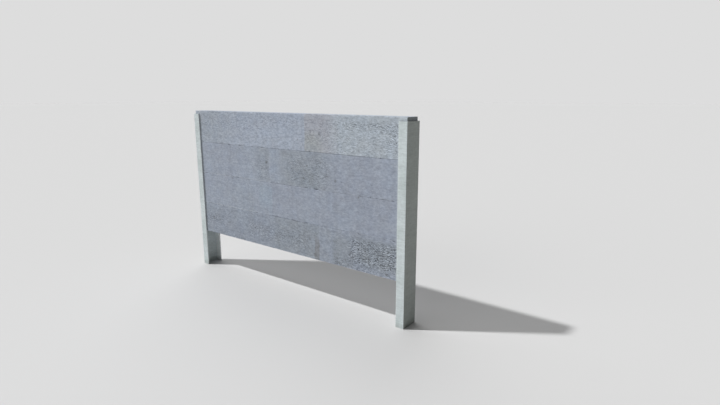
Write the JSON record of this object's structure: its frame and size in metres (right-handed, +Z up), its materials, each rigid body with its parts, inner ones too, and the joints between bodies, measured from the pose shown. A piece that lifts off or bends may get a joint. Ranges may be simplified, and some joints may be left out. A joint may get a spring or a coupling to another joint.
{
  "type": "post and plank concrete barrier bay",
  "caption": "Free-standing wall bay: flat precast concrete planks slid down between two open-faced steel channel posts and held clear of the ground.",
  "frame": {"origin": "on the ground at the centre of the footprint, under the middle of the wall", "axes": "+X along the wall from the left post to the right post, -Y out of the front face, +Z up"},
  "size_m": [2.4, 0.16, 1.529],
  "materials": {
    "galvanised_post": "pale greenish-grey galvanised steel, weathered matt",
    "seat_steel": "galvanised plate",
    "bearing_rubber": "black neoprene",
    "seal_rubber": "dark grey ribbed solid rubber",
    "precast_concrete": "bluish-grey cast concrete, patchy and pitted",
    "bar_steel": "mill scale with light rust",
    "socket_steel": "zinc plated",
    "joint_rubber": "black ribbed solid rubber"
  },
  "bodies": {
    "posts": {"left_post": "galvanised_post", "left_seat_plate": "seat_steel", "left_bearing_pad": "bearing_rubber", "left_edge_seals": "seal_rubber", "right_post": "galvanised_post", "right_seat_plate": "seat_steel", "right_bearing_pad": "bearing_rubber", "right_edge_seals": "seal_rubber"},
    "bottom_plank": {"bottom_plank": "precast_concrete", "bottom_main_bars": "bar_steel", "bottom_links": "bar_steel", "bottom_lifting_sockets": "socket_steel", "bottom_anchor_bars": "bar_steel", "bottom_joint_strip": "joint_rubber"},
    "lower_middle_plank": {"lower_middle_plank": "precast_concrete", "lower_middle_main_bars": "bar_steel", "lower_middle_links": "bar_steel", "lower_middle_lifting_sockets": "socket_steel", "lower_middle_anchor_bars": "bar_steel", "lower_middle_joint_strip": "joint_rubber"},
    "upper_middle_plank": {"upper_middle_plank": "precast_concrete", "upper_middle_main_bars": "bar_steel", "upper_middle_links": "bar_steel", "upper_middle_lifting_sockets": "socket_steel", "upper_middle_anchor_bars": "bar_steel", "upper_middle_joint_strip": "joint_rubber"},
    "top_plank": {"top_plank": "precast_concrete", "top_main_bars": "bar_steel", "top_links": "bar_steel", "top_lifting_sockets": "socket_steel", "top_anchor_bars": "bar_steel"}
  },
  "joints": [
    {"name": "lift_bottom_plank", "type": "slide", "parent": "posts", "child": "bottom_plank", "axis": [0, 0, 1], "range_m": [0, 1.18]},
    {"name": "lift_lower_middle_plank", "type": "slide", "parent": "bottom_plank", "child": "lower_middle_plank", "axis": [0, 0, 1], "range_m": [0, 0.885]},
    {"name": "lift_upper_middle_plank", "type": "slide", "parent": "lower_middle_plank", "child": "upper_middle_plank", "axis": [0, 0, 1], "range_m": [0, 0.59]},
    {"name": "lift_top_plank", "type": "slide", "parent": "upper_middle_plank", "child": "top_plank", "axis": [0, 0, 1], "range_m": [0, 0.3]}
  ]
}
